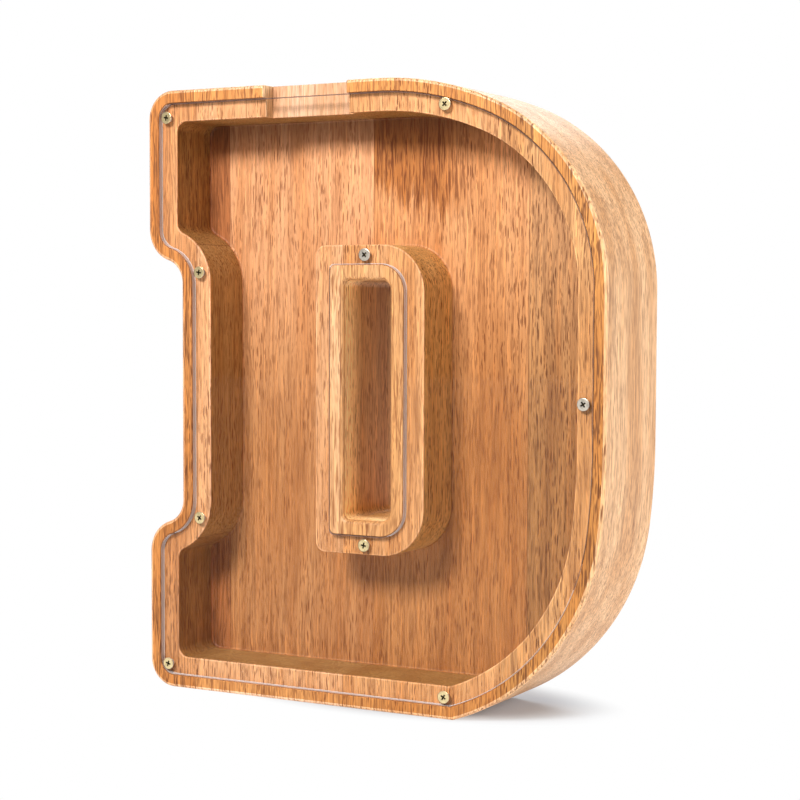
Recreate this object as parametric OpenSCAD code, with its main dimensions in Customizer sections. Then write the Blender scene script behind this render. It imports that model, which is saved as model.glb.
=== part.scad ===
// Letter-shaped wooden money box: a block glued up from upright staves, pocketed from
// the front, with a clear panel let into a rebate and held by nine countersunk screws.
// Front faces -Y, +Z is up; the origin is the middle of the footprint, on the table.

/* [Letter] */
// Height of the letter
letter_h = 215; // [200:1:236]
// Width of the letter, serif to bowl
letter_w = 178; // [177:1:186]
// Thickness of the block, front to back
block_d = 45; // [36:0.5:60]
// How far the serifs stand out to the left of the stem
serif_out = 14.2; // [12:0.1:17]
// Radius of the serifs' outer corners
corner_r = 10; // [5:0.5:14]
// Radius of the outward curve where a serif turns into the stem
serif_r = 11.5; // [8:0.5:14]
// Radius of the inward curve beside the stem
stem_r = 8.5; // [6:0.5:12]
// Height of each serif, from its end to the start of its curve
serif_h = 49.4; // [44:0.2:54]

/* [Bowl] */
// Radius of the shallow arc that leaves the top edge
crown_r = 110; // [90:5:140]
// Radius of the upper shoulder
shoulder_r = 68.2; // [64:0.2:71]
// Height of the upper shoulder's centre below the top
shoulder_drop = 71.4; // [68.4:0.2:76]
// Radius of the long, nearly straight side
side_r = 250; // [180:10:400]
// Radius of the lower hip
hip_r = 77.3; // [72:0.1:78.4]
// Height of the lower hip's centre above the base
hip_rise = 73.5; // [70:0.5:76]
// Distance of the hip's centre from the left edge
hip_x = 99.5; // [98:0.1:100]

/* [Pocket] */
// Width of the raised lip round the panel
lip_w = 4.4; // [3:0.1:6]
// Width of the wall, lip and ledge together
wall_w = 11; // [9:0.1:12]
// Depth of the rebate that the panel lies in
rebate_d = 2.1; // [1.6:0.1:3.2]
// Depth of the money pocket's floor below the front
floor_d = 23.5; // [18:0.5:30]
// Radius of the milling cutter, left in the pocket's inner corners
tool_r = 4; // [3:0.5:5]

/* [Counter] */
// Left side of the island round the letter's counter
island_x = 69; // [66:0.5:74]
// Width of the island
island_w = 42.3; // [38:0.1:48]
// Height of the island
island_h = 106; // [96:0.5:116]
// Height of the island's middle above the base
island_z = 106.3; // [100:0.1:112]
// Radius of the island's right-hand corners
island_r = 16; // [12:0.5:20]
// Radius of the island's left-hand corners
island_back_r = 3.7; // [3:0.1:6]
// Width of the ledge on the island
island_ledge_w = 6.9; // [6:0.1:8]
// Width of the island's raised lip, between its ledge and the counter
island_lip_w = 5.1; // [4:0.1:6]
// Smallest corner radius in the counter hole
counter_tool_r = 2.5; // [2:0.5:4]

/* [Coin slot] */
// Start of the coin slot from the left edge
slot_x = 48.9; // [40:0.1:52]
// Length of the coin slot
slot_l = 33.3; // [28:0.1:36]
// Depth of the notch that the panel closes into a slot
slot_d = 6.4; // [6.3:0.1:9]

/* [Panel] */
// Thickness of the clear panel
panel_t = 2; // [1.5:0.1:3]
// Gap between the panel and the lips
panel_gap = 0.25; // [0.15:0.05:0.5]

/* [Screws] */
// Diameter of the countersunk head
head_dia = 4.2; // [3.8:0.1:5]
// Outer diameter of the thread
thread_dia = 2.2; // [1.8:0.1:2.6]
// Length under and including the head
screw_l = 10; // [8:0.5:14]
// Distance from crest to crest of the thread
thread_pitch = 0.8; // [0.6:0.1:1]

/* [Staves] */
// Places of the glue lines from the left edge
seam_1 = 19.5; // [16:0.5:24]
// Second glue line
seam_2 = 80; // [70:0.5:90]
// Third glue line
seam_3 = 140; // [130:0.5:150]

/* [Hidden] */
$fn = 96;

wood_tan = "#d9a066";
wood_pink = "#d69c6e";
wood_gold = "#e0ab6c";
wood_pale = "#e3b47e";
brass = "#c9a24a";

// Cutting tools run this far past the faces they cut.
over = 1;
// Reach of the wedges and strips that trim the flat outlines.
reach = 2 * letter_h;

// Centres of the arcs of the bowl, measured from the letter's lower left corner.
shoulder_c = [letter_w - shoulder_r, letter_h - shoulder_drop];
crown_a = asin((shoulder_c.y - letter_h + crown_r) / (crown_r - shoulder_r));
crown_c = [shoulder_c.x - (crown_r - shoulder_r) * cos(crown_a), letter_h - crown_r];
hip_c = [hip_x, hip_rise];
hip_a = acos((hip_x - letter_w + side_r) / (side_r - hip_r));
side_c = [letter_w - side_r, hip_rise + (side_r - hip_r) * sin(hip_a)];

// The bowl's outline starts this far left of the crown's centre, inside the stem's.
bowl_lap = 20;
bowl_x = crown_c.x - bowl_lap;
// A tighter arc stands this far proud of its neighbours, so that the two cross cleanly.
proud = 0.02;

// The letter is level about this line; its serifs are mirror images across it.
middle_z = 106.3;

// The screws were driven by eye, each near the middle of the ledge and a little off it.
ledge_mid = (lip_w + wall_w) / 2;
top_left_drop = 1.9;
crown_screw_x = 119.6;
crown_screw_drop = 2.2;
stem_screw_x = serif_out + ledge_mid - 0.3;
stem_screw_rise = 43.9;
bottom_left_rise = 0.7;
base_screw_x = 120.2;
base_screw_drop = 0.2;
bowl_screw_out = 0.4;
bowl_screw_z = 107.3;
island_screw_x = 89.3;
island_screw_rise = (island_h - island_ledge_w) / 2;

// Their places from the lower left corner, [across, up], in the order of NODES.
screw_at = [
    [ledge_mid, letter_h - ledge_mid - top_left_drop],
    [crown_screw_x, letter_h - ledge_mid - crown_screw_drop],
    [stem_screw_x, middle_z + stem_screw_rise],
    [stem_screw_x, middle_z - stem_screw_rise],
    [ledge_mid, ledge_mid + bottom_left_rise],
    [base_screw_x, ledge_mid - base_screw_drop],
    [letter_w - ledge_mid - bowl_screw_out, bowl_screw_z],
    [island_screw_x, island_z + island_screw_rise],
    [island_screw_x, island_z - island_screw_rise]
];
first_screw_node = 5;

// Fits of the screws: the pilot holes just clear the thread, the panel's holes clear it easily.
pilot_dia = thread_dia + 0.1;
pilot_spare = 2;
clearance_dia = thread_dia + 0.5;
head_gap = 0.06;
head_rim = 0.25;
head_h = (head_dia - thread_dia) / 2 + head_rim;
core_dia = thread_dia - 0.6;
tip_l = 1.6;
recess_l = 2.4;
recess_w = 0.55;
recess_d = 0.9;
// The thread's first ridge starts this far below the head, and each flank is this wide,
// both as parts of the pitch.
thread_start = 0.35;
thread_flank = 0.3;
small_fn = 48;

// Height between the two arcs of a serif's curve, for an outline set in by `inset`.
function curve_rise(outer_r, inset) =
    sqrt(pow(outer_r + stem_r + inset, 2) - pow(inset + outer_r - serif_out + stem_r, 2));

// Radius left at an outward corner when the outline is set in.
function inset_r(r, inset, least) = max(r - inset, least);

module disc(centre, r) {
    translate(centre) circle(r = r);
}

// Part of a disc between two directions.
module sector(centre, r, from, to) {
    intersection() {
        disc(centre, r);
        translate(centre) polygon([
            [0, 0],
            reach * [cos(from), sin(from)],
            reach * [cos((from + to) / 2), sin((from + to) / 2)],
            reach * [cos(to), sin(to)]
        ]);
    }
}

// The bowl, right of the stem: crown, shoulder, side and hip arcs, end to end.
module bowl_outline(inset) {
    right_x = letter_w - inset;
    intersection() {
        translate([bowl_x, inset])
            square([right_x - bowl_x, letter_h - 2 * inset]);
        union() {
            sector(crown_c, crown_r + proud - inset, crown_a, 90);
            disc(shoulder_c, shoulder_r + 2 * proud - inset);
            sector(side_c, side_r + proud - inset, -hip_a, 0);
            disc(hip_c, hip_r + 2 * proud - inset);
            // What the arcs enclose.
            polygon([
                [bowl_x, 0],
                [hip_c.x, 0],
                hip_c + (hip_r - inset) * [cos(hip_a), -sin(hip_a)],
                [right_x, side_c.y],
                [right_x, shoulder_c.y],
                shoulder_c + (shoulder_r - inset) * [cos(crown_a), sin(crown_a)],
                [crown_c.x, letter_h - inset],
                [bowl_x, letter_h - inset]
            ]);
        }
    }
}

// One serif and half of the stem, above the middle of the letter.
module half_stem(inset, top_z) {
    r = inset_r(corner_r, inset, tool_r);
    turn_r = inset_r(serif_r, inset, tool_r);
    curve_z = top_z - serif_h - curve_rise(serif_r, 0);
    inner_c = [serif_out - stem_r, curve_z];
    outer_c = [inset + turn_r, curve_z + curve_rise(turn_r, inset)];
    right_x = crown_c.x;
    // Stem, up to where the curve starts.
    translate([serif_out + inset, 0])
        square([right_x - serif_out - inset, curve_z]);
    // Inward curve beside the stem.
    difference() {
        polygon([inner_c, [right_x, inner_c.y], [right_x, outer_c.y], outer_c]);
        disc(inner_c, stem_r + inset);
    }
    // Outward curve under the serif.
    intersection() {
        disc(outer_c, turn_r + proud);
        translate([inset, 0]) square([right_x, outer_c.y + turn_r / 2]);
    }
    // Serif, with its rounded corner.
    translate([inset, outer_c.y])
        square([right_x - inset, top_z - inset - r - outer_c.y]);
    translate([inset + r, outer_c.y])
        square([right_x - inset - r, top_z - inset - outer_c.y]);
    disc([inset + r, top_z - inset - r], r);
}

// The whole letter, set in all round by `inset`.
module letter_outline(inset) {
    translate([0, middle_z]) half_stem(inset, letter_h - middle_z);
    translate([0, middle_z]) mirror([0, 1]) half_stem(inset, middle_z);
    bowl_outline(inset);
}

// The D of the island and counter, set in all round by `inset`.
module island_outline(inset, least_r) {
    r = inset_r(island_r, inset, least_r);
    back_r = inset_r(island_back_r, inset, least_r);
    w = island_w - 2 * inset;
    h = island_h - 2 * inset;
    translate([island_x + inset, island_z - h / 2]) {
        translate([back_r, 0]) square([w - back_r - r, h]);
        translate([0, back_r]) square([back_r, h - 2 * back_r]);
        translate([w - r, r]) square([r, h - 2 * r]);
        for (z = [back_r, h - back_r]) translate([back_r, z]) circle(r = back_r);
        for (z = [r, h - r]) translate([w - r, z]) circle(r = r);
    }
}

// Stands a flat outline up and extrudes it back from `from` to `to` behind the front face.
module slab(from, to) {
    translate([-letter_w / 2, to - block_d / 2, 0])
        rotate([90, 0, 0])
            linear_extrude(height = to - from)
                children();
}

// Something turned about Y, its axis at a screw's place, with the front face at y = 0.
module at_screw(i) {
    translate([screw_at[i].x - letter_w / 2, -block_d / 2, screw_at[i].y])
        children();
}

// The glued and milled block, before it is parted into its staves.
module milled_block() {
    difference() {
        slab(0, block_d) letter_outline(0);
        // Rebate for the panel, round the island's lip.
        slab(-over, rebate_d) difference() {
            letter_outline(lip_w);
            island_outline(island_ledge_w, tool_r / 2);
        }
        // Money pocket, round the island.
        slab(0, floor_d) difference() {
            letter_outline(wall_w);
            island_outline(0, tool_r);
        }
        // Counter hole, right through.
        slab(-over, block_d + over)
            island_outline(island_ledge_w + island_lip_w, counter_tool_r);
        // Coin notch through the top wall.
        slab(-over, slot_d) translate([slot_x, letter_h - wall_w - over])
            square([slot_l, wall_w + 2 * over]);
        for (i = [0 : len(screw_at) - 1])
            at_screw(i) pilot_hole();
    }
}

module pilot_hole() {
    rotate([-90, 0, 0]) cylinder(d = pilot_dia, h = screw_l + pilot_spare, $fn = small_fn);
}

// One stave: the block between two glue lines.
module stave(from, to) {
    intersection() {
        milled_block();
        translate([from - letter_w / 2, -block_d, -over])
            cube([to - from, 2 * block_d, letter_h + 2 * over]);
    }
}

module stave_serif() {
    color(wood_tan) stave(-over, seam_1);
}

module stave_stem() {
    color(wood_pink) stave(seam_1, seam_2);
}

module stave_counter() {
    color(wood_gold) stave(seam_2, seam_3);
}

module stave_bowl() {
    color(wood_pale) stave(seam_3, letter_w + over);
}

module front_panel() {
    panel_front = rebate_d - panel_t;
    color("#dfeef2", 0.3) difference() {
        slab(panel_front, rebate_d) difference() {
            letter_outline(lip_w + panel_gap);
            island_outline(island_ledge_w - panel_gap, tool_r / 2);
        }
        for (i = [0 : len(screw_at) - 1])
            at_screw(i) panel_hole();
    }
}

// Countersunk hole through the panel.
module panel_hole() {
    seat_r = head_dia / 2 + head_gap;
    hole_r = clearance_dia / 2;
    seat_h = rebate_d - panel_t + head_rim + head_gap;
    rotate([-90, 0, 0]) {
        translate([0, 0, -over]) cylinder(r = seat_r, h = over + seat_h, $fn = small_fn);
        translate([0, 0, seat_h])
            cylinder(r1 = seat_r, r2 = hole_r, h = seat_r - hole_r, $fn = small_fn);
        cylinder(r = hole_r, h = rebate_d + over, $fn = small_fn);
    }
}

// Countersunk cross-head screw, head flush with the panel, pointing into the wood.
module screw() {
    head_top = rebate_d - panel_t;
    shank_l = screw_l - head_h;
    turns = floor((shank_l - tip_l) / thread_pitch);
    profile = concat(
        [[0, 0], [head_dia / 2, 0], [head_dia / 2, head_rim], [core_dia / 2, head_h]],
        [for (k = [1 : turns], edge = [0 : 2])
            [(edge == 1 ? thread_dia : core_dia) / 2,
             head_h + (k - 1 + edge * thread_flank + thread_start) * thread_pitch]],
        [[core_dia / 2, screw_l - tip_l], [0, screw_l]]
    );
    translate([0, head_top, 0]) rotate([-90, 0, 0]) difference() {
        rotate_extrude($fn = small_fn) polygon(profile);
        for (a = [45, 135])
            rotate([0, 0, a])
                translate([-recess_l / 2, -recess_w / 2, -over])
                    cube([recess_l, recess_w, over + recess_d]);
    }
}

stave_serif();
stave_stem();
stave_counter();
stave_bowl();
front_panel();
for (i = [0 : len(screw_at) - 1])
    at_screw(i) color(brass) screw();
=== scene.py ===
"""Looks of a letter-shaped wooden money box: four glued staves, a clear panel and nine screws.

The wood, panel and screw meshes are made here, with their small radii, from the same driving
dimensions as the CAD model. Lengths are millimetres from the letter's lower left front corner,
x to the right, y back, z up, and place() turns them into the frame's metres.
"""
import math
import random

import bmesh
import bpy
from mathutils import Matrix, Vector
from mathutils.geometry import tessellate_polygon


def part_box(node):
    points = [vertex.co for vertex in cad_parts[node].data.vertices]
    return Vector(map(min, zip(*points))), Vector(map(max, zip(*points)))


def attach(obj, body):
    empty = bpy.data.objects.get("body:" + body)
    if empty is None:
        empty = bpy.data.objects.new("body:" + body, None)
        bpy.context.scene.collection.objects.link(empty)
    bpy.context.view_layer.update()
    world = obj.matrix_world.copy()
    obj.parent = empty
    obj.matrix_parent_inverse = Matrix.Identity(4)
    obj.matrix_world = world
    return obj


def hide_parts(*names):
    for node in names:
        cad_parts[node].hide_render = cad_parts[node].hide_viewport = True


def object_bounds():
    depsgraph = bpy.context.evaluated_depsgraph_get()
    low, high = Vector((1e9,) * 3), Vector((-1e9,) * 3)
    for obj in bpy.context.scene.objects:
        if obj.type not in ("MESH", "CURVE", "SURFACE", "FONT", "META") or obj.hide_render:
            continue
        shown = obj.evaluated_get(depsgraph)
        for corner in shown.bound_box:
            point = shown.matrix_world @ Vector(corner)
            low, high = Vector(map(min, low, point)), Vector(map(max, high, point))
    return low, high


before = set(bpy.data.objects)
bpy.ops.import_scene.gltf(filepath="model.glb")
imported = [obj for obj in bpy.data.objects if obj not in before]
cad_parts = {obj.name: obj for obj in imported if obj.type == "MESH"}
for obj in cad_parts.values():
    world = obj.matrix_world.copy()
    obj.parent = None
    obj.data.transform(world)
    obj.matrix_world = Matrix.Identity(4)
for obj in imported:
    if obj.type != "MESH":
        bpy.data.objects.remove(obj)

CAD_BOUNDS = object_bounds()
MM = 0.001

# Driving dimensions of the letter, as in the CAD model.
WIDTH, DEPTH, HEIGHT = (CAD_BOUNDS[1] - CAD_BOUNDS[0]) / MM
SERIF_OUT = 14.2
CORNER_R = 10.0
SERIF_R = 11.5
STEM_R = 8.5
SERIF_H = 49.4
CROWN_R = 110.0
SHOULDER_R = 68.2
SHOULDER_DROP = 71.4
SIDE_R = 250.0
HIP_R = 77.3
HIP_RISE = 73.5
HIP_X = 99.5
MIDDLE_Z = 106.3
LIP_W = 4.4
WALL_W = 11.0
REBATE_D = 2.1
FLOOR_D = 23.5
TOOL_R = 4.0
ISLAND_X = 69.0
ISLAND_W = 42.3
ISLAND_H = 106.0
ISLAND_Z = 106.3
ISLAND_R = 16.0
ISLAND_BACK_R = 3.7
ISLAND_LEAST_R = 2.0
ISLAND_LEDGE_W = 6.9
HOLE_INSET = 12.0
HOLE_R = 2.5
SLOT_X = 48.9
SLOT_L = 33.3
SLOT_D = 6.4
PANEL_T = 2.0
PANEL_GAP = 0.25
SEAMS = (19.5, 80.0, 140.0)

# Radii that the sander and the router leave on the edges.
FRONT_ROUND = 1.1
BACK_ROUND = 1.2
LIP_ROUND = 0.25
LEDGE_ROUND = 0.45
FLOOR_FILLET = 0.7
HOLE_ROUND = 1.6
HOLE_BACK_ROUND = 0.8
SLOT_ROUND = 0.45
PANEL_CHAMFER = 0.2
ROUND_STEPS = 5

# How far a cutting shape runs past what it cuts.
CLEAR = 1.0


def place(x, y, z):
    """A point in the letter's millimetres, as a vector in the frame."""
    return Vector(((x - WIDTH / 2) * MM, (y - DEPTH / 2) * MM, z * MM))


# ---------------------------------------------------------------- outlines

def arc(centre, radius, start, end, steps):
    """Points on an arc, both ends included; angles in degrees."""
    angles = [math.radians(start + (end - start) * i / steps) for i in range(steps + 1)]
    return [(centre[0] + radius * math.cos(a), centre[1] + radius * math.sin(a)) for a in angles]


def serif_rise(turn_r, inset):
    """Height between the two arcs that take a serif into the stem."""
    across = inset + turn_r - SERIF_OUT + STEM_R
    return math.sqrt((turn_r + STEM_R + inset) ** 2 - across ** 2)


def half_serif(inset, top):
    """The arcs of one serif, above the middle line, from the stem to the top edge."""
    corner_r = max(CORNER_R - inset, TOOL_R)
    turn_r = max(SERIF_R - inset, TOOL_R)
    curve_z = top - SERIF_H - serif_rise(SERIF_R, 0)
    stem_c = (SERIF_OUT - STEM_R, curve_z)
    turn_c = (inset + turn_r, curve_z + serif_rise(turn_r, inset))
    lean = math.degrees(math.atan2(turn_c[1] - stem_c[1], turn_c[0] - stem_c[0]))
    corner_c = (inset + corner_r, top - inset - corner_r)
    return (arc(stem_c, STEM_R + inset, 0, lean, 12)
            + arc(turn_c, turn_r, lean + 180, 180, 12)
            + arc(corner_c, corner_r, 180, 90, 12))


def letter_loop(inset):
    """The letter's outline set in by inset, clockwise from the base of the lower serif."""
    shoulder_c = (WIDTH - SHOULDER_R, HEIGHT - SHOULDER_DROP)
    crown_z = HEIGHT - CROWN_R
    crown_a = math.degrees(math.asin((shoulder_c[1] - crown_z) / (CROWN_R - SHOULDER_R)))
    crown_c = (shoulder_c[0] - (CROWN_R - SHOULDER_R) * math.cos(math.radians(crown_a)), crown_z)
    hip_a = math.degrees(math.acos((HIP_X - WIDTH + SIDE_R) / (SIDE_R - HIP_R)))
    side_c = (WIDTH - SIDE_R, HIP_RISE + (SIDE_R - HIP_R) * math.sin(math.radians(hip_a)))
    base_a = math.degrees(math.asin((HIP_RISE - inset) / (HIP_R - inset)))
    lower = [(x, MIDDLE_Z - z) for x, z in reversed(half_serif(inset, MIDDLE_Z))]
    upper = [(x, MIDDLE_Z + z) for x, z in half_serif(inset, HEIGHT - MIDDLE_Z)]
    bowl = (arc(crown_c, CROWN_R - inset, 90, crown_a, 14)
            + arc(shoulder_c, SHOULDER_R - inset, crown_a, 0, 36)[1:]
            + arc(side_c, SIDE_R - inset, 0, -hip_a, 12)
            + arc((HIP_X, HIP_RISE), HIP_R - inset, -hip_a, -base_a, 36)[1:])
    return lower + upper + bowl


def island_loop(inset):
    """The D round the counter, set in by inset, clockwise from its lower left corner."""
    in_hole = inset > HOLE_INSET - HOLE_ROUND - LIP_ROUND
    least = HOLE_R if in_hole else ISLAND_LEAST_R
    front_r = max(ISLAND_R - inset, least)
    back_r = max(ISLAND_BACK_R - inset, least)
    left, right = ISLAND_X + inset, ISLAND_X + ISLAND_W - inset
    low, high = ISLAND_Z - ISLAND_H / 2 + inset, ISLAND_Z + ISLAND_H / 2 - inset
    return (arc((left + back_r, low + back_r), back_r, 270, 180, 10)
            + arc((left + back_r, high - back_r), back_r, 180, 90, 10)
            + arc((right - front_r, high - front_r), front_r, 90, 0, 18)
            + arc((right - front_r, low + front_r), front_r, 0, -90, 18))


# ---------------------------------------------------------------- mesh tools

def skin(bm, outline, sections):
    """Lofts outline(inset) through sections, each a finish and its (inset, depth) pairs.

    Returns the first loop of vertices and the last.
    """
    loops, finishes = [], []
    for finish, profile in sections:
        for inset, depth in profile:
            loops.append([bm.verts.new(place(x, depth, z)) for x, z in outline(inset)])
            finishes.append(finish)
    count = len(loops[0])
    for near, far, finish in zip(loops, loops[1:], finishes[1:]):
        for i in range(count):
            j = (i + 1) % count
            face = bm.faces.new((near[i], near[j], far[j], far[i]))
            face.material_index = finish
    return loops[0], loops[-1]


def fill_between(bm, outer, inner, finish=0):
    """Flat faces between two closed loops of vertices that lie in one plane."""
    verts = outer + inner
    for triangle in tessellate_polygon([[v.co for v in outer], [v.co for v in inner]]):
        face = bm.faces.new([verts[i] for i in triangle])
        face.material_index = finish


def finish_mesh(bm, name):
    """Turns bm into an object of that name in the scene."""
    bmesh.ops.remove_doubles(bm, verts=bm.verts, dist=1e-7)
    bmesh.ops.recalc_face_normals(bm, faces=bm.faces)
    mesh = bpy.data.meshes.new(name)
    bm.to_mesh(mesh)
    bm.free()
    obj = bpy.data.objects.new(name, mesh)
    bpy.context.scene.collection.objects.link(obj)
    return obj


def smooth(obj, angle=32):
    """Smooth shading with hard corners kept, and flat faces kept flat beside small radii."""
    obj.data.polygons.foreach_set("use_smooth", [True] * len(obj.data.polygons))
    obj.data.set_sharp_from_angle(angle=math.radians(angle))
    weighted = obj.modifiers.new("weighted_normals", "WEIGHTED_NORMAL")
    weighted.keep_sharp = True
    weighted.weight = 80


def carve(obj, cutter):
    """Takes the cutter's solids out of obj."""
    cut = obj.modifiers.new("cut", "BOOLEAN")
    cut.operation = "DIFFERENCE"
    cut.solver = "EXACT"
    cut.object = cutter
    evaluated = obj.evaluated_get(bpy.context.evaluated_depsgraph_get())
    mesh = bpy.data.meshes.new_from_object(evaluated)
    obj.modifiers.remove(cut)
    uncut = obj.data
    obj.data = mesh
    mesh.name = obj.name
    bpy.data.meshes.remove(uncut)
    bpy.data.objects.remove(cutter)


def turned(bm, at, profile, segments=40):
    """A solid of revolution about y through at = (x, z), from (radius, depth) pairs."""
    rings = []
    for radius, depth in profile:
        ring = []
        for i in range(segments):
            a = 2 * math.pi * i / segments
            ring.append(bm.verts.new(place(at[0] + radius * math.cos(a), depth,
                                           at[1] + radius * math.sin(a))))
        rings.append(ring)
    for near, far in zip(rings, rings[1:]):
        for i in range(segments):
            j = (i + 1) % segments
            bm.faces.new((near[i], near[j], far[j], far[i]))
    bm.faces.new(rings[0])
    bm.faces.new(rings[-1])


# ---------------------------------------------------------------- the wood

PILOT_R = 1.15
PILOT_D = 12.0
PILOT_POINT_R = 0.1
PILOT_POINT_L = 0.8

# What multiplies the wood's colour on each kind of surface, and how much of the darker, more golden painted
# shade low down it takes.
# The values were fitted to the photo's colours under the lights below, so they also make up for
# what those lights get wrong. Some take a colour past 1.
# Besides the wood's own tones, these tints hold painted light and shade. The outer faces are made paler,
# partly the wood's tone and partly painted light on a lit outer side.
OUTSIDE, EDGE_HIGHLIGHT, LIP, LEDGE, RIM_HIGHLIGHT, SHADED_WALL, FLOOR, ISLAND_WALL, ISLAND_LIP, HOLE, LIT_NOTCH_END = range(11)
SURFACE_AND_PAINTED_LIGHT_TINTS = {
    OUTSIDE: (1.05, 1.19, 1.42, 0.1),
    # Painted highlight on the front edge's round-over.
    EDGE_HIGHLIGHT: (1.3, 1.45, 1.65, 0.0),
    LIP: (0.95, 0.79, 0.48, 0.45),
    LEDGE: (1.04, 1.02, 0.96, 0.3),
    # Painted highlight on the ledge's inner rim.
    RIM_HIGHLIGHT: (1.25, 1.32, 1.4, 0.2),
    # Painted shade: the pocket's inner walls are darkened.
    SHADED_WALL: (0.62, 0.66, 0.42, 0.0),
    FLOOR: (1.02, 0.94, 0.86, 0.9),
    ISLAND_WALL: (1.15, 1.4, 1.1, 0.1),
    ISLAND_LIP: (1.0, 1.06, 1.02, 0.1),
    HOLE: (0.88, 0.96, 0.72, 0.0),
    # Painted light: the coin notch's ends are brightened, some channels past 1.
    LIT_NOTCH_END: (1.25, 1.75, 2.1, 0.0),
}
# How strongly the pores show, where that isn't 1.
PORE_STRENGTHS = {OUTSIDE: 0.55, EDGE_HIGHLIGHT: 0.4, LIP: 1.1, SHADED_WALL: 1.5, ISLAND_WALL: 1.3, ISLAND_LIP: 0.7}
# The end staves' floors are tinted: the serif stave's is reddish wood darkened partly as painted shade in
# its narrow pocket, the bowl's is a coarse board.
FLOOR_TINTS = {"stave_serif": (0.74, 0.58, 0.46, 0.6), "stave_bowl": (0.84, 0.78, 0.74, 0.9)}
# The counter hole's wall is pale at the front, and the paleness fades between two depths: painted light on
# the front of the wall, fitted to the photo. It is fitted to the photo, where it may be light alone; that
# the wood is rubbed there is a guess.
HOLE_LIT_TINT = (1.8, 2.55, 2.9, 0.0)
HOLE_LIT_D = 4.0
HOLE_UNLIT_D = 15.0
HOLE_LIGHT_STEPS = 5


def screw_places():
    """Each screw's CAD node and its axis, (x, z), read from the frame."""
    places = {}
    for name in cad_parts:
        if name.startswith("screw_"):
            low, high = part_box(name)
            centre = (low + high) / 2
            places[name] = (centre.x / MM + WIDTH / 2, centre.z / MM)
    return places


def milled_block():
    """The whole block as one closed mesh: outside, rebate, pocket, island and counter."""
    bm = bmesh.new()
    rim = WALL_W - LEDGE_ROUND
    foot = WALL_W + FLOOR_FILLET
    block = [
        (OUTSIDE, arc((BACK_ROUND, DEPTH - BACK_ROUND), BACK_ROUND, 90, 180, ROUND_STEPS)),
        (OUTSIDE, [(0, FRONT_ROUND)]),
        # The front round-over carries a painted highlight.
        (EDGE_HIGHLIGHT, arc((FRONT_ROUND, FRONT_ROUND), FRONT_ROUND, 190, 270, ROUND_STEPS)),
        (LIP, arc((LIP_W - LIP_ROUND, LIP_ROUND), LIP_ROUND, 270, 360, 3)),
        (LEDGE, [(LIP_W, REBATE_D)]),
        (LEDGE, [(rim, REBATE_D)]),
        # The ledge's inner round carries a painted highlight.
        (RIM_HIGHLIGHT, arc((rim, REBATE_D + LEDGE_ROUND), LEDGE_ROUND, 290, 360, 3)),
        # The pocket's walls carry painted shade.
        (SHADED_WALL, [(WALL_W, FLOOR_D - FLOOR_FILLET)]),
        (FLOOR, arc((foot, FLOOR_D - FLOOR_FILLET), FLOOR_FILLET, 160, 90, 4))]
    lip = ISLAND_LEDGE_W
    edge = HOLE_INSET - HOLE_ROUND
    back_edge = HOLE_INSET - HOLE_BACK_ROUND
    island = [
        (FLOOR, arc((-FLOOR_FILLET, FLOOR_D - FLOOR_FILLET), FLOOR_FILLET, 90, 0, 5)),
        (ISLAND_WALL, [(0, REBATE_D + LEDGE_ROUND)]),
        (RIM_HIGHLIGHT, arc((LEDGE_ROUND, REBATE_D + LEDGE_ROUND), LEDGE_ROUND, 200, 270, 3)),
        (LEDGE, [(lip, REBATE_D)]),
        (ISLAND_LIP, arc((lip + LIP_ROUND, LIP_ROUND), LIP_ROUND, 180, 270, 3)),
        (ISLAND_LIP, arc((edge, HOLE_ROUND), HOLE_ROUND, 270, 360, 6)),
        (HOLE, [(HOLE_INSET, HOLE_LIT_D + (HOLE_UNLIT_D - HOLE_LIT_D) * i / HOLE_LIGHT_STEPS)
                for i in range(HOLE_LIGHT_STEPS + 1)]),
        (HOLE, arc((back_edge, DEPTH - HOLE_BACK_ROUND), HOLE_BACK_ROUND, 0, 90, 4))]
    back_outer, floor_outer = skin(bm, letter_loop, block)
    floor_inner, back_inner = skin(bm, island_loop, island)
    fill_between(bm, floor_outer, floor_inner, FLOOR)
    fill_between(bm, back_outer, back_inner, OUTSIDE)
    return finish_mesh(bm, "milled_block")


def block_cutters():
    """The coin notch and the pilot holes, as one object to cut with."""
    bm = bmesh.new()
    corners = [place(x, y, z) for x in (SLOT_X, SLOT_X + SLOT_L)
               for y in (-CLEAR, SLOT_D) for z in (HEIGHT - WALL_W - CLEAR, HEIGHT + CLEAR)]
    verts = [bm.verts.new(c) for c in corners]
    for quad in ((0, 1, 3, 2), (4, 6, 7, 5), (0, 4, 5, 1), (2, 3, 7, 6), (0, 2, 6, 4), (1, 5, 7, 3)):
        bm.faces.new([verts[i] for i in quad])
    pilot = [(PILOT_R, REBATE_D - CLEAR), (PILOT_R, PILOT_D),
             (PILOT_POINT_R, PILOT_D + PILOT_POINT_L)]
    for at in screw_places().values():
        turned(bm, at, pilot, 20)
    return finish_mesh(bm, "block_cutters")


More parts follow.
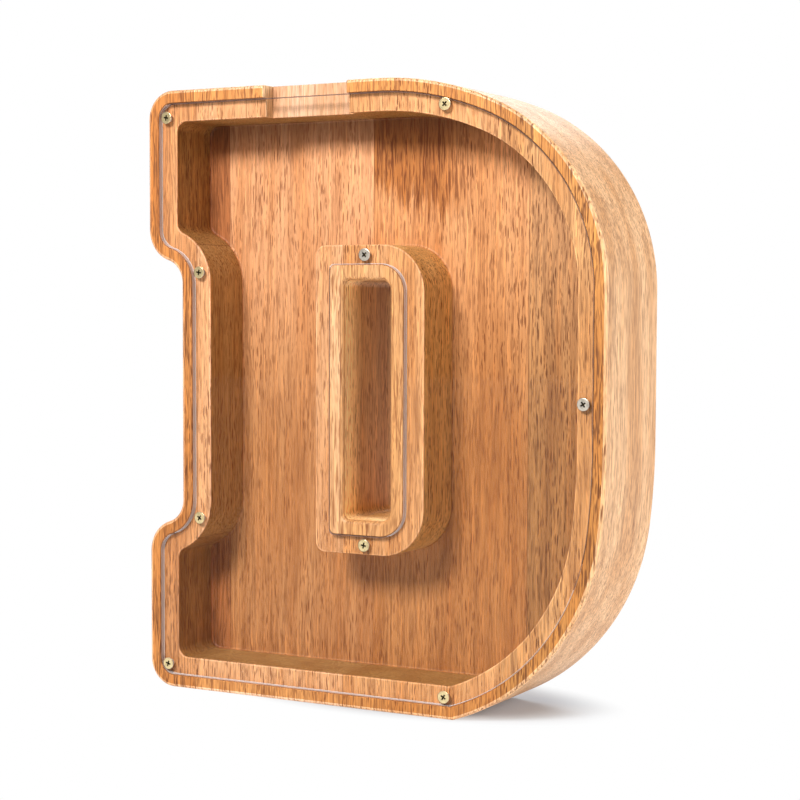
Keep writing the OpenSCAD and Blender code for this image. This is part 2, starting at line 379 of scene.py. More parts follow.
def round_notch(obj):
    """Takes the sharpness off the edges that the coin notch leaves."""
    bm = bmesh.new()
    bm.from_mesh(obj.data)
    left, back, low = place(SLOT_X, SLOT_D, HEIGHT - WALL_W - CLEAR)
    right = place(SLOT_X + SLOT_L, 0, 0).x
    near = 0.02 * MM
    chosen = []
    for edge in bm.edges:
        ends = [v.co for v in edge.verts]
        sharp = len(edge.link_faces) == 2 and edge.calc_face_angle(0) > math.radians(50)
        inside = all(c.y < back + near and c.z > low for c in ends)
        on_end = any(all(abs(c.x - x) < near for c in ends) for x in (left, right))
        on_back = all(c.y > back - near and left - near < c.x < right + near for c in ends)
        # The notch's two upright inner corners stay sharp.
        upright = abs(ends[0].z - ends[1].z) > near
        if sharp and inside and (not upright if on_back else on_end):
            chosen.append(edge)
    bmesh.ops.bevel(bm, geom=chosen, offset=SLOT_ROUND * MM, segments=3, profile=0.5,
                    affect="EDGES", clamp_overlap=True)
    bm.to_mesh(obj.data)
    bm.free()


def stave_between(block, name, start, end):
    """The block between two glue lines, as a closed mesh of its own."""
    bm = bmesh.new()
    bm.from_mesh(block.data)
    for x, keep in ((start, 1), (end, -1)):
        if x is None:
            continue
        cut = bmesh.ops.bisect_plane(
            bm, geom=bm.verts[:] + bm.edges[:] + bm.faces[:], dist=1e-8,
            plane_co=place(x, 0, 0), plane_no=(-keep, 0, 0), clear_outer=True)
        rim = [g for g in cut["geom_cut"] if isinstance(g, bmesh.types.BMEdge) and g.is_boundary]
        cap = bmesh.ops.holes_fill(bm, edges=rim, sides=0)["faces"]
        bmesh.ops.triangulate(bm, faces=cap)
    return finish_mesh(bm, name)


def in_notch_end(face):
    """Whether a face is one of the coin notch's two ends."""
    low = place(SLOT_X - CLEAR, -CLEAR, HEIGHT - WALL_W - CLEAR)
    high = place(SLOT_X + SLOT_L + CLEAR, SLOT_D, HEIGHT)
    inside = all(a < c < b for a, c, b in zip(low, face.center, high))
    return inside and abs(face.normal.x) > 0.5


def record_finish(obj, node):
    """Turns the faces' finish numbers into the tint and pore strength that the wood reads."""
    layers = obj.data.attributes
    layers.new("finish_tint", "FLOAT_COLOR", "CORNER")
    layers.new("pore_strength", "FLOAT", "CORNER")
    layers.new("pocket_floor", "FLOAT", "CORNER")
    # Looked up only now, because adding a layer moves the others.
    tint = layers["finish_tint"]
    strength = layers["pore_strength"]
    in_pocket = layers["pocket_floor"]
    for face in obj.data.polygons:
        # The coin notch's ends take painted light.
        finish = LIT_NOTCH_END if in_notch_end(face) else face.material_index
        colour = Vector(SURFACE_AND_PAINTED_LIGHT_TINTS[finish])
        if finish == FLOOR:
            colour = Vector(FLOOR_TINTS.get(node, SURFACE_AND_PAINTED_LIGHT_TINTS[FLOOR]))
        for corner in face.loop_indices:
            shade = colour
            # Painted light: the hole's wall is paler towards the front.
            if finish == HOLE:
                vertex = obj.data.vertices[obj.data.loops[corner].vertex_index]
                depth = vertex.co.y / MM + DEPTH / 2
                hole_light = min(1.0, max(0.0, (HOLE_UNLIT_D - depth) / (HOLE_UNLIT_D - HOLE_LIT_D)))
                shade = colour.lerp(Vector(HOLE_LIT_TINT), hole_light * hole_light * (3 - 2 * hole_light))
            tint.data[corner].color = shade
            strength.data[corner].value = PORE_STRENGTHS.get(finish, 1.0)
            in_pocket.data[corner].value = float(finish == FLOOR)
        face.material_index = 0


def make_staves():
    """The four staves, in order from the serifs to the bowl."""
    block = milled_block()
    carve(block, block_cutters())
    round_notch(block)
    limits = (None,) + SEAMS + (None,)
    staves = []
    for node, start, end in zip(("stave_serif", "stave_stem", "stave_counter", "stave_bowl"),
                                limits, limits[1:]):
        stave = stave_between(block, node + "_wood", start, end)
        record_finish(stave, node)
        smooth(stave)
        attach(stave, "case")
        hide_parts(node)
        staves.append(stave)
    bpy.data.objects.remove(block)
    return staves


# ---------------------------------------------------------------- the panel

PANEL_FRONT = REBATE_D - PANEL_T
PANEL_SEAT_GAP = 0.06
PANEL_HOLE_GAP = 0.25
# The panel's back face shows just clear of the ledge that it lies on.
PANEL_BACK = REBATE_D - 0.05


def make_panel():
    """The clear sheet: letter outline, D cut-out, chamfered edges, countersunk holes."""
    bm = bmesh.new()
    c = PANEL_CHAMFER
    outer = LIP_W + PANEL_GAP
    inner = ISLAND_LEDGE_W - PANEL_GAP
    edge = [(0, [(outer + c, PANEL_FRONT), (outer, PANEL_FRONT + c),
                 (outer, PANEL_BACK - c), (outer + c, PANEL_BACK)])]
    cutout = [(0, [(inner - c, PANEL_FRONT), (inner, PANEL_FRONT + c),
                   (inner, PANEL_BACK - c), (inner - c, PANEL_BACK)])]
    outer_front, outer_back = skin(bm, letter_loop, edge)
    inner_front, inner_back = skin(bm, island_loop, cutout)
    fill_between(bm, outer_front, inner_front)
    fill_between(bm, outer_back, inner_back)
    panel = finish_mesh(bm, "front_panel_clear")
    cutters = bmesh.new()
    seat_r = HEAD_R + PANEL_SEAT_GAP
    hole_r = THREAD_R + PANEL_HOLE_GAP
    seat_d = PANEL_FRONT + HEAD_RIM + PANEL_SEAT_GAP
    countersink = [(seat_r, PANEL_FRONT - CLEAR), (seat_r, seat_d),
                   (hole_r, seat_d + seat_r - hole_r), (hole_r, PANEL_BACK + CLEAR)]
    for at in screw_places().values():
        turned(cutters, at, countersink)
    carve(panel, finish_mesh(cutters, "panel_cutters"))
    smooth(panel, 25)
    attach(panel, "panel")
    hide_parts("front_panel")
    return panel


# ---------------------------------------------------------------- the screws

HEAD_R = 2.1
HEAD_RIM = 0.25
THREAD_R = 1.1
CORE_R = 0.8
SCREW_L = 10.0
TIP_L = 1.6
TIP_R = 0.04
THREAD_PITCH = 0.8
THREAD_STEPS = 9
RIDGE_HALF = 0.28
RUN_IN = 0.5
HEAD_EASE = 0.05
HEAD_BEVEL = 0.12
HEAD_DEPTHS = (0, 0.06, 0.14, HEAD_RIM)
SHANK_START = 0.4
RECESS_L = 1.35
RECESS_W = 0.62
RECESS_D = 0.95
RECESS_FOOT_L = 0.42
RECESS_FOOT_W = 0.434
HEAD_SUNK = 0.02
SCREW_SPIN = 0.7
THREAD_GAP = 0.02


def screw_radius(depth, angle):
    """Radius of a screw at a depth under its head's top: head, threaded shank, point."""
    head_h = HEAD_R - THREAD_R + HEAD_RIM
    if depth < HEAD_RIM:
        return HEAD_R - HEAD_EASE * (1 - depth / HEAD_RIM) ** 2
    if depth < head_h:
        return HEAD_R + (CORE_R - HEAD_R) * (depth - HEAD_RIM) / (head_h - HEAD_RIM)
    taper = min(1.0, (SCREW_L - depth) / TIP_L)
    turn = ((depth - head_h) / THREAD_PITCH - angle / (2 * math.pi)) % 1.0
    crest = max(0.0, 1 - abs(turn - 0.5) / RIDGE_HALF) * min(1.0, (depth - head_h) / RUN_IN)
    return max(TIP_R, (CORE_R + (THREAD_R - THREAD_GAP - CORE_R) * crest) * taper)


def screw_mesh():
    """One cross-head screw about the y axis, its head's top at y = 0, in metres."""
    segments = 32
    bm = bmesh.new()
    depths = list(HEAD_DEPTHS)
    depth = SHANK_START
    while depth < SCREW_L:
        depths.append(depth)
        depth += THREAD_PITCH / THREAD_STEPS
    rings = []
    for k, depth in enumerate(depths):
        ring = []
        for i in range(segments):
            a = 2 * math.pi * i / segments
            r = (screw_radius(depth, a) - (HEAD_BEVEL if k == 0 else 0)) * MM
            ring.append(bm.verts.new((r * math.cos(a), depth * MM, r * math.sin(a))))
        rings.append(ring)
    for near, far in zip(rings, rings[1:]):
        for i in range(segments):
            j = (i + 1) % segments
            bm.faces.new((near[i], near[j], far[j], far[i]))
    bm.faces.new(rings[0])
    bm.faces.new(rings[-1])
    screw = finish_mesh(bm, "screw_blank")
    carve(screw, cross_cutter())
    return screw


def cross_cutter():
    """The tapered cross that the driver fits in."""
    bm = bmesh.new()
    rings = []
    mouth = (RECESS_L, RECESS_W, -CLEAR / 2)
    foot = (RECESS_FOOT_L, RECESS_FOOT_W, RECESS_D)
    for length, width, depth in (mouth, foot):
        half = width / 2
        ring = []
        for turn in range(4):
            arm = Matrix.Rotation(math.pi / 2 * turn + math.pi / 4, 2)
            for corner in ((half, -half), (length, -half), (length, half)):
                x, z = arm @ Vector(corner)
                ring.append(bm.verts.new((x * MM, depth * MM, z * MM)))
        rings.append(ring)
    top, bottom = rings
    for i, corner in enumerate(top):
        j = (i + 1) % len(top)
        bm.faces.new((corner, top[j], bottom[j], bottom[i]))
    bm.faces.new(top)
    bm.faces.new(bottom)
    return finish_mesh(bm, "cross_cutter")


def make_screws():
    """The nine screws, each with its cross turned by a random angle."""
    blank = screw_mesh()
    rng = random.Random(7)
    screws = []
    for node, (x, z) in screw_places().items():
        mesh = blank.data.copy()
        mesh.name = node + "_brass"
        spin = Matrix.Rotation(rng.uniform(-SCREW_SPIN, SCREW_SPIN), 4, "Y")
        mesh.transform(Matrix.Translation(place(x, PANEL_FRONT + HEAD_SUNK, z)) @ spin)
        screw = bpy.data.objects.new(node + "_brass", mesh)
        bpy.context.scene.collection.objects.link(screw)
        smooth(screw, 40)
        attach(screw, node)
        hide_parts(node)
        screws.append(screw)
    bpy.data.objects.remove(blank)
    return screws


# ---------------------------------------------------------------- materials

class Shader:
    """A material's node tree, with short names for the nodes that are used often."""

    def __init__(self, name):
        self.material = bpy.data.materials.new(name)
        self.material.use_nodes = True
        self.tree = self.material.node_tree
        self.tree.nodes.clear()
        self.output = self.tree.nodes.new("ShaderNodeOutputMaterial")

    def add(self, kind, **values):
        node = self.tree.nodes.new(kind)
        for key, value in values.items():
            setattr(node, key, value)
        return node

    def put(self, socket, value):
        """Links a socket to another's output, or sets its plain value."""
        if isinstance(value, bpy.types.NodeSocket):
            self.tree.links.new(value, socket)
        else:
            socket.default_value = value

    def math(self, operation, a, b=0.0, c=0.0, clamp=False):
        node = self.add("ShaderNodeMath", operation=operation, use_clamp=clamp)
        for socket, value in zip(node.inputs, (a, b, c)):
            self.put(socket, value)
        return node.outputs[0]

    def mix(self, factor, a, b, blend="MIX"):
        node = self.add("ShaderNodeMix", data_type="RGBA", blend_type=blend)
        self.put(node.inputs[0], factor)
        for socket, value in zip(node.inputs[6:8], (a, b)):
            self.put(socket, value if isinstance(value, bpy.types.NodeSocket) else (*value, 1.0))
        return node.outputs[2]

    def step(self, value, low, high):
        """0 below low, 1 above high, smooth between; low may be the larger."""
        node = self.add("ShaderNodeMapRange", interpolation_type="SMOOTHSTEP")
        self.put(node.inputs[0], value)
        self.put(node.inputs[1], low)
        self.put(node.inputs[2], high)
        return node.outputs[0]

    def stretched(self, vector, scale, shift):
        """vector times scale plus shift, each a triple."""
        node = self.add("ShaderNodeVectorMath", operation="MULTIPLY_ADD")
        self.put(node.inputs[0], vector)
        self.put(node.inputs[1], scale)
        self.put(node.inputs[2], shift)
        return node.outputs[0]

    def noise(self, vector, detail=2.0, roughness=0.5):
        node = self.add("ShaderNodeTexNoise")
        self.put(node.inputs["Vector"], vector)
        self.put(node.inputs["Scale"], 1.0)
        self.put(node.inputs["Detail"], detail)
        self.put(node.inputs["Roughness"], roughness)
        return node.outputs["Fac"]

    def cells(self, vector):
        node = self.add("ShaderNodeTexVoronoi")
        self.put(node.inputs["Vector"], vector)
        self.put(node.inputs["Scale"], 1.0)
        return node.outputs["Distance"]

    def surface(self, socket):
        self.tree.links.new(socket, self.output.inputs["Surface"])
        return self.material


# What multiplies the colour of the wood's dark lines to give that of its pores.
PORE_DEPTH = (0.55, 0.36, 0.18)
# What multiplies the wood's colour in the pale stripes between its lines, in the painted shade low down, in
# the painted shade under the top wall and in the dark patch.
PALE_TINT = (1.22, 1.18, 1.1)
LOW_SHADE_TINT = (0.62, 0.55, 0.38)
TOP_WALL_SHADE_TINT = (0.42, 0.39, 0.35)
PATCH_TINT = (0.62, 0.47, 0.26)
# The painted shade, darker and more golden, grows from this share of the letter's height down to that one.
LOW_SHADE_START = 0.85
LOW_SHADE_FULL = 0.4
# How far down from the top wall the painted shade on the pocket's floor reaches.
TOP_WALL_SHADE_H = 14.0
# How far the grain wanders sideways, and how far in from the front dirt is full and ends.
WANDER = 3.2
DIRT_FULL_D = 0.2
DIRT_END_D = 0.9
# The dark patch's reach right of its glue line, its fade, and how ragged its lower end is.
PATCH_W = 46.0
PATCH_FADE = 22.0
PATCH_RAG = 34.0
GLUE_HALF = 0.22
BUMP_D = 0.08


def grain_scale(across, along):
    """Scale for a pattern whose features are that many millimetres wide and tall."""
    return (1 / (across * MM), 1 / (across * MM), 1 / (along * MM))


def wood(name, light, mid, line, shift, flecks, seams=(), patch=False):
    """Oiled hardwood with upright grain.

    light and mid are its two tones and line the colour of its dark lines; shift moves every
    pattern; flecks is how strongly the pores show; seams are glue lines that it touches.
    """
    s = Shader(name)
    coordinates = s.add("ShaderNodeTexCoord").outputs["Object"]
    split = s.add("ShaderNodeSeparateXYZ")
    s.put(split.inputs[0], coordinates)
    x, y, z = split.outputs
    pore_colour = [c * depth for c, depth in zip(line, PORE_DEPTH)]

    # Slow wandering of the grain, which bends every line a little.
    waver = s.noise(s.stretched(coordinates, grain_scale(9, 46), shift), 2.0)
    lean = s.add("ShaderNodeCombineXYZ")
    s.put(lean.inputs[0], s.math("MULTIPLY", waver, WANDER * MM))
    bent = s.add("ShaderNodeVectorMath", operation="ADD")
    s.put(bent.inputs[0], coordinates)
    s.put(bent.inputs[1], lean.outputs[0])
    bent = bent.outputs[0]

    # Broad tone, year lines, fine fibre, and pores of two sizes.
    tone = s.noise(s.stretched(bent, grain_scale(10, 120), shift), 3.0, 0.55)
    year = s.noise(s.stretched(bent, grain_scale(2.6, 90), shift), 2.0, 0.6)
    fibre = s.noise(s.stretched(bent, grain_scale(0.62, 11), shift), 2.0, 0.7)
    hair = s.noise(s.stretched(bent, grain_scale(0.9, 34), shift), 2.0, 0.7)
    crowd = s.step(s.noise(s.stretched(bent, grain_scale(7, 60), shift), 2.0, 0.6), 0.38, 0.62)
    long_pores = s.step(s.cells(s.stretched(bent, grain_scale(0.8, 7.5), shift)), 0.33, 0.2)
    short_pores = s.step(s.cells(s.stretched(bent, grain_scale(0.6, 4.0), shift)), 0.32, 0.12)
    long_pores = s.math("MULTIPLY", long_pores, s.math("MULTIPLY_ADD", crowd, 0.5, 0.5))
    short_pores = s.math("MULTIPLY", short_pores, s.math("MULTIPLY_ADD", crowd, 0.6, 0.25))
    pores = s.math("MAXIMUM", long_pores, short_pores)
    lines = s.step(hair, 0.56, 0.7)

    colour = s.mix(s.step(tone, 0.36, 0.66), light, mid)
    colour = s.mix(s.math("MULTIPLY", s.step(year, 0.46, 0.72), 0.24), colour, line)
    colour = s.mix(s.math("MULTIPLY", s.step(fibre, 0.46, 0.64), 0.5), colour, line)
    colour = s.mix(s.math("MULTIPLY", lines, 0.5), colour, line)
    pale = s.mix(1.0, colour, PALE_TINT, "MULTIPLY")
    colour = s.mix(s.step(hair, 0.48, 0.36), colour, pale)

    # The per-surface tints hold the wood's tone and also painted light and shade: highlights on edges and
    # rims, shade on the pocket walls, light at the notch ends and at the hole's front.
    finish = s.add("ShaderNodeVertexColor", layer_name="finish_tint")
    colour = s.mix(1.0, colour, finish.outputs["Color"], "MULTIPLY")
    # On the lip the photo shows darker lines, taken here for dirt.
    lip = s.step(y, place(0, DIRT_END_D, 0).y, place(0, DIRT_FULL_D, 0).y)
    dashes = s.noise(s.stretched(bent, grain_scale(0.75, 13), shift), 2.0, 0.6)
    dirt = s.math("MULTIPLY", lip, s.step(dashes, 0.54, 0.63))
    colour = s.mix(s.math("MULTIPLY", dirt, flecks), colour, line)
    # Painted shade: lower down the wood is darker and more golden.
    low = s.step(z, LOW_SHADE_START * HEIGHT * MM, LOW_SHADE_FULL * HEIGHT * MM)
    low = s.math("MULTIPLY", low, finish.outputs["Alpha"])
    colour = s.mix(low, colour, s.mix(1.0, colour, LOW_SHADE_TINT, "MULTIPLY"))

    # Under the top wall the photo is darker than these lights make it, so painted shade darkens the
    # pocket's floor there.
    pocket_floor = s.add("ShaderNodeAttribute", attribute_name="pocket_floor").outputs["Fac"]
    ceiling = (HEIGHT - WALL_W) * MM
    top_wall_shade = s.math("MULTIPLY", s.step(z, ceiling - TOP_WALL_SHADE_H * MM, ceiling), pocket_floor)
    colour = s.mix(top_wall_shade, colour, s.mix(1.0, colour, TOP_WALL_SHADE_TINT, "MULTIPLY"))

    strength = s.add("ShaderNodeAttribute", attribute_name="pore_strength")
    pores = s.math("MULTIPLY", pores, strength.outputs["Fac"], clamp=True)
    if patch:
        colour, dark = heartwood(s, colour, x, z, bent, shift, pocket_floor)
        pores = s.math("MAXIMUM", pores, s.math("MULTIPLY", dark, s.step(fibre, 0.5, 0.62)))

    colour = s.mix(s.math("MULTIPLY", pores, flecks), colour, pore_colour)
    for seam in seams:
        gap = s.math("ABSOLUTE", s.math("SUBTRACT", x, place(seam, 0, 0).x))
        glue = s.step(gap, GLUE_HALF * MM, 0.05 * MM)
        colour = s.mix(s.math("MULTIPLY", glue, 0.6), colour, pore_colour)

    height = s.math("MULTIPLY_ADD", fibre, 0.4, s.math("MULTIPLY", pores, -0.9))
    bump = s.add("ShaderNodeBump")
    s.put(bump.inputs["Strength"], 0.6)
    s.put(bump.inputs["Distance"], BUMP_D * MM)
    s.put(bump.inputs["Height"], height)
    rough = s.math("MULTIPLY_ADD", pores, 0.18, s.math("MULTIPLY_ADD", fibre, 0.16, 0.38))
    shader = s.add("ShaderNodeBsdfPrincipled")
    s.put(shader.inputs["Base Color"], colour)
    s.put(shader.inputs["Roughness"], rough)
    s.put(shader.inputs["Specular IOR Level"], 0.32)
    s.put(shader.inputs["Normal"], bump.outputs[0])
    return s.surface(shader.outputs[0])


def heartwood(s, colour, x, z, bent, shift, pocket_floor):
    """A dark patch on the pocket's floor under the top wall, with a ragged lower end.

    Returns the new colour and how much of the patch there is.
    """
    ragged = s.noise(s.stretched(bent, grain_scale(1.6, 45), shift), 3.0, 0.65)
    wide = s.noise(s.stretched(bent, grain_scale(13, 200), shift), 1.0, 0.5)
    rag = s.math("MULTIPLY", s.math("ADD", ragged, wide), PATCH_RAG * MM)
    edge = s.math("ADD", z, rag)
    high = s.step(edge, (HEIGHT - 12) * MM, (HEIGHT - 2) * MM)
    right = place(SEAMS[1] + PATCH_W, 0, 0).x
    across = s.step(x, right, right - PATCH_FADE * MM)
    mask = s.math("MULTIPLY", s.math("MULTIPLY", high, across), pocket_floor)
    darker = s.mix(1.0, colour, PATCH_TINT, "MULTIPLY")
    return s.mix(mask, colour, darker), mask


# How much the clear sheet mirrors when it is looked at squarely.
HEAD_ON_MIRROR = 0.0055


def acrylic():
    """Clear cast sheet: nearly all see-through, mirroring more at a glance."""
    s = Shader("clear_acrylic")
    clear = s.add("ShaderNodeBsdfTransparent")
    s.put(clear.inputs["Color"], (0.985, 0.985, 0.98, 1.0))
    gloss = s.add("ShaderNodeBsdfGlossy")
    s.put(gloss.inputs["Roughness"], 0.03)
    s.put(gloss.inputs["Color"], (0.9, 0.9, 0.9, 1.0))
    # Schlick's rule, which is the same from inside the sheet as from outside.
    weight = s.add("ShaderNodeLayerWeight")
    s.put(weight.inputs["Blend"], 0.5)
    glance = s.math("POWER", weight.outputs["Facing"], 5.0)
    mixed = s.add("ShaderNodeMixShader")
    s.put(mixed.inputs[0], s.math("MULTIPLY_ADD", glance, 1 - HEAD_ON_MIRROR, HEAD_ON_MIRROR))
    s.put(mixed.inputs[1], clear.outputs[0])
    s.put(mixed.inputs[2], gloss.outputs[0])
    return s.surface(mixed.outputs[0])


def acrylic_edge(name, tones, cover):
    """The sheet's cut edge; cover is how much it hides what is behind it."""
    s = Shader(name)
    coordinates = s.add("ShaderNodeTexCoord").outputs["Object"]
    saw = s.noise(s.stretched(coordinates, grain_scale(0.5, 0.5), (3, 5, 7)), 2.0)
    shader = s.add("ShaderNodeBsdfPrincipled")
    # The tones are painted shade on some edges and a painted highlight on others.
    s.put(shader.inputs["Base Color"], s.mix(saw, *tones))
    s.put(shader.inputs["Roughness"], s.math("MULTIPLY_ADD", saw, 0.2, 0.15))
    clear = s.add("ShaderNodeBsdfTransparent")
    mixed = s.add("ShaderNodeMixShader")
    s.put(mixed.inputs[0], cover)
    s.put(mixed.inputs[1], clear.outputs[0])
    s.put(mixed.inputs[2], shader.outputs[0])
    return s.surface(mixed.outputs[0])


def brass(name, tint):
    """Bright plating, a little uneven, with faint turning marks."""
    s = Shader(name)
    coordinates = s.add("ShaderNodeTexCoord").outputs["Object"]
    tarnish = s.noise(s.stretched(coordinates, grain_scale(1.4, 1.4), (1, 2, 3)), 3.0)
    scratch = s.noise(s.stretched(coordinates, (9000, 9000, 2500), (4, 5, 6)), 2.0)
    shader = s.add("ShaderNodeBsdfPrincipled")
    dull = [c * 0.7 for c in tint]
    s.put(shader.inputs["Base Color"], s.mix(s.step(tarnish, 0.4, 0.7), tint, dull))
    shader.inputs["Metallic"].default_value = 1.0
    s.put(shader.inputs["Roughness"], s.math("MULTIPLY_ADD", scratch, 0.2, 0.25))
    return s.surface(shader.outputs[0])


# Each stave's light and mid tones, the colour of its lines, the shift of its patterns and how
# strongly its pores show. The serif stave is darker and redder, the bowl's coarser.
WOODS = {
    "stave_serif": ((0.74, 0.36, 0.165), (0.60, 0.255, 0.10), (0.19, 0.06, 0.016), (3.1, 7.7, 0.4), 0.75),
    "stave_stem": ((0.83, 0.45, 0.245), (0.71, 0.34, 0.155), (0.33, 0.12, 0.035), (11.3, 2.9, 5.2), 0.8),
    "stave_counter": ((0.80, 0.41, 0.19), (0.68, 0.31, 0.12), (0.30, 0.105, 0.03), (23.9, 13.1, 8.8), 0.85),
    "stave_bowl": ((0.80, 0.43, 0.195), (0.64, 0.30, 0.115), (0.20, 0.068, 0.02), (37.7, 29.3, 2.6), 0.9),
}
# Painted shade and painted highlight for the clear sheet's edges.
SHADED_EDGE_TONES = ((0.26, 0.17, 0.15), (0.14, 0.08, 0.065))
HIGHLIGHT_EDGE_TONES = ((0.95, 0.93, 0.92), (0.72, 0.66, 0.64))
YELLOW_PLATING = (1.0, 0.80, 0.43)
PALE_PLATING = (0.8, 0.72, 0.6)
# Painted shade in the screws' cross recesses.
RECESS_SHADE = (0.10, 0.07, 0.035)
PALE_SCREWS = ("screw_bowl", "screw_island_top")


def paint_staves(staves):
    """Gives each stave its own wood, with the glue lines that it touches."""
    for i, (stave, (node, looks)) in enumerate(zip(staves, WOODS.items())):
        seams = SEAMS[max(0, i - 1):i + 1]
        name = node.replace("stave", "wood")
        stave.data.materials.append(wood(name, *looks, seams, patch=node == "stave_counter"))


def paint_panel(panel):
    """Clear faces, edges with painted shade and edges with a painted highlight."""
    panel.data.materials.append(acrylic())
    panel.data.materials.append(acrylic_edge("acrylic_edge", SHADED_EDGE_TONES, 0.75))
    panel.data.materials.append(acrylic_edge("acrylic_bright_edge", HIGHLIGHT_EDGE_TONES, 0.6))
    for face in panel.data.polygons:
        # In the photo the edges that look down or to the left are pale and the others dark: the first get a
        # painted highlight, the others painted shade.
        painted_highlight = min(face.normal.x, face.normal.z) < -0.25
        flat = abs(face.normal.y) > 0.95
        face.material_index = 0 if flat else (2 if painted_highlight else 1)


def paint_screws(screws):
    """Plated heads and shanks, with painted shade in each head's cross recess."""
    plated = brass("brass_plating", YELLOW_PLATING)
    steely = brass("pale_plating", PALE_PLATING)
    recess_shade = brass("recess_plating", RECESS_SHADE)
    head_top = place(0, PANEL_FRONT, 0).y
    for screw in screws:
        pale = screw.name.startswith(PALE_SCREWS)
        screw.data.materials.append(steely if pale else plated)
        screw.data.materials.append(recess_shade)
        low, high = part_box(screw.name.replace("_brass", ""))
        axis = (low + high) / 2
        for face in screw.data.polygons:
            away = math.hypot(face.center.x - axis.x, face.center.z - axis.z)
            deep = (face.center.y - head_top) / MM
            in_recess = away < RECESS_L * MM and 0.08 < deep < RECESS_D + 0.1
            face.material_index = int(in_recess)


# ---------------------------------------------------------------- stage, lights, camera

FLOOR_R = 3.0
FLOOR_GLOW = 0.05
# Grey-blue paper round the foot: painted shade that deepens and cools the contact shadow.
FOOT_SHADE_TONES = ((0.52, 0.57, 0.63), (0.54, 0.59, 0.65))
# The paper is white beyond an oval round the letter's foot: its centre, how narrow it is from
# front to back, and where the white begins and is full, in metres.
OVAL_CENTRE = (0.0, 0.01, 0.0)
OVAL_SQUASH = 2.0
OVAL_START = 0.05
OVAL_END = 0.085


def make_floor():
    """Grey-blue paper round the letter's foot, painted shade that deepens its contact shadow, turning to
    glowing white away from the letter, like the white behind it.
    """
    bm = bmesh.new()
    bmesh.ops.create_circle(bm, cap_ends=True, radius=FLOOR_R, segments=96)
    floor = finish_mesh(bm, "floor")
    s = Shader("floor_paper")
    coordinates = s.add("ShaderNodeTexCoord").outputs["Object"]
    tooth = s.noise(s.stretched(coordinates, (900, 900, 900), (0, 0, 0)), 2.0)
    oval_scale = (1, OVAL_SQUASH, 1)
    oval_shift = [-c * scale for c, scale in zip(OVAL_CENTRE, oval_scale)]
    distance = s.add("ShaderNodeVectorMath", operation="LENGTH")
    s.put(distance.inputs[0], s.stretched(coordinates, oval_scale, oval_shift))
    shader = s.add("ShaderNodeBsdfPrincipled")
    s.put(shader.inputs["Base Color"], s.mix(tooth, *FOOT_SHADE_TONES))
    s.put(shader.inputs["Roughness"], 0.85)
    s.put(shader.inputs["Specular IOR Level"], 0.1)
    s.put(shader.inputs["Emission Color"], (1.0, 1.0, 1.0, 1.0))
    s.put(shader.inputs["Emission Strength"], FLOOR_GLOW)
    glow = s.add("ShaderNodeEmission")
    mixed = s.add("ShaderNodeMixShader")
    s.put(mixed.inputs[0], s.step(distance.outputs["Value"], OVAL_START, OVAL_END))
    s.put(mixed.inputs[1], shader.outputs[0])
    s.put(mixed.inputs[2], glow.outputs[0])
    floor.data.materials.append(s.surface(mixed.outputs[0]))


# How brightly the studio's air lights things, next to the white that the camera sees.
AMBIENT = 0.12


def make_world():
    """A white background whose light on the object is dim."""
    world = bpy.data.worlds.new("studio")
    bpy.context.scene.world = world
    world.use_nodes = True
    tree = world.node_tree
    background = tree.nodes["Background"]
    background.inputs["Color"].default_value = (1.0, 1.0, 1.0, 1.0)
    strength = tree.nodes.new("ShaderNodeMix")
    strength.inputs[2].default_value = AMBIENT
    strength.inputs[3].default_value = 1.0
    rays = tree.nodes.new("ShaderNodeLightPath")
    tree.links.new(rays.outputs["Is Camera Ray"], strength.inputs[0])
    tree.links.new(strength.outputs[0], background.inputs["Strength"])


LIGHTS_AIM = Vector((0, 0, 0.1))


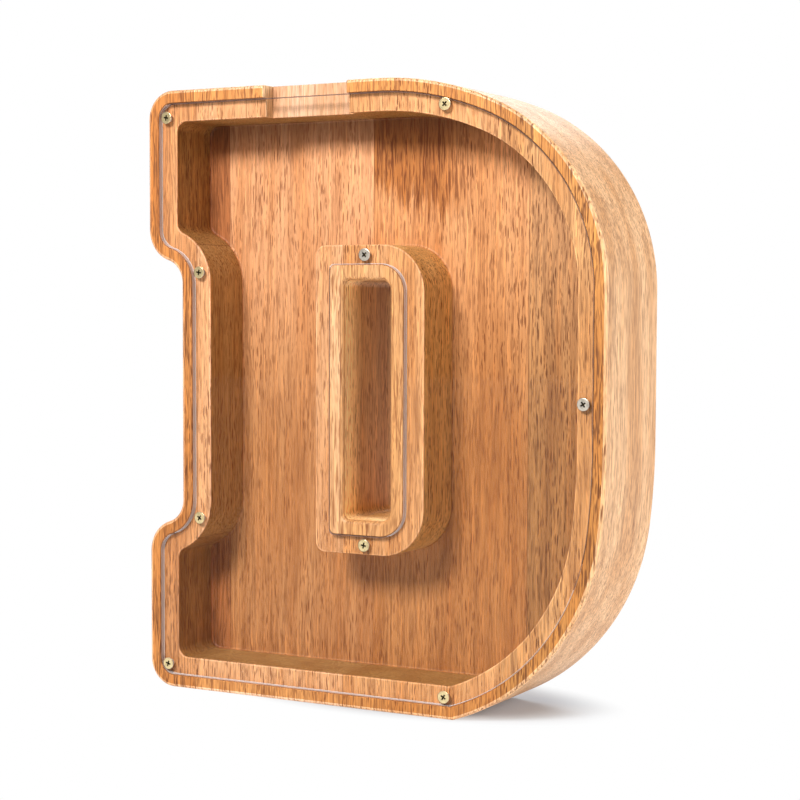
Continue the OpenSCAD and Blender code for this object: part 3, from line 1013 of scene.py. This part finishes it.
def softbox(name, azimuth, elevation, distance, size, power):
    """An area light round the object: azimuth 0 is in front, 90 to its right."""
    a, e = math.radians(azimuth), math.radians(elevation)
    toward = Vector((math.sin(a) * math.cos(e), -math.cos(a) * math.cos(e), math.sin(e)))
    data = bpy.data.lights.new(name, "AREA")
    data.shape = "RECTANGLE"
    data.size, data.size_y = size
    data.energy = power
    light = bpy.data.objects.new(name, data)
    light.location = LIGHTS_AIM + toward * distance
    light.rotation_euler = (-toward).to_track_quat("-Z", "Y").to_euler()
    bpy.context.scene.collection.objects.link(light)


# Where the photo was taken from, in metres and degrees; shift is a share of the frame's width.
CAMERA_AT = (0.3155, -0.577, 0.1389)
CAMERA_AZIMUTH = 28.5
CAMERA_PITCH = -3.5
CAMERA_ROLL = 0.2
CAMERA_LENS = 84.48
CAMERA_SHIFT = 0.0247


def make_camera():
    """Standing to the right of the front, just above the letter's middle, tipped slightly down."""
    azimuth = math.radians(CAMERA_AZIMUTH)
    pitch = math.radians(CAMERA_PITCH)
    roll = math.radians(CAMERA_ROLL)
    forward = Vector((-math.sin(azimuth) * math.cos(pitch), math.cos(azimuth) * math.cos(pitch),
                      math.sin(pitch)))
    level = Vector((math.cos(azimuth), math.sin(azimuth), 0))
    upright = level.cross(forward)
    right = level * math.cos(roll) + upright * math.sin(roll)
    up = upright * math.cos(roll) - level * math.sin(roll)
    data = bpy.data.cameras.new("camera")
    data.sensor_width = 36.0
    data.lens = CAMERA_LENS
    data.shift_y = CAMERA_SHIFT
    data.clip_start = 0.01
    data.clip_end = 50.0
    camera = bpy.data.objects.new("camera", data)
    facing = Matrix((right, up, -forward)).transposed().to_4x4()
    camera.matrix_world = Matrix.Translation(CAMERA_AT) @ facing
    bpy.context.scene.collection.objects.link(camera)
    bpy.context.scene.camera = camera


def make_stage():
    """Everything round the object."""
    make_floor()
    make_world()
    softbox("key", -6, 34, 1.3, (0.42, 0.34), 20)
    softbox("right_side", 112, 12, 1.4, (0.7, 1.0), 20)
    softbox("behind", 200, 40, 1.6, (1.0, 0.8), 14)
    make_camera()
    bpy.context.scene.view_settings.view_transform = "Standard"


wooden = make_staves()
clear_panel = make_panel()
fasteners = make_screws()
paint_staves(wooden)
paint_panel(clear_panel)
paint_screws(fasteners)
make_stage()
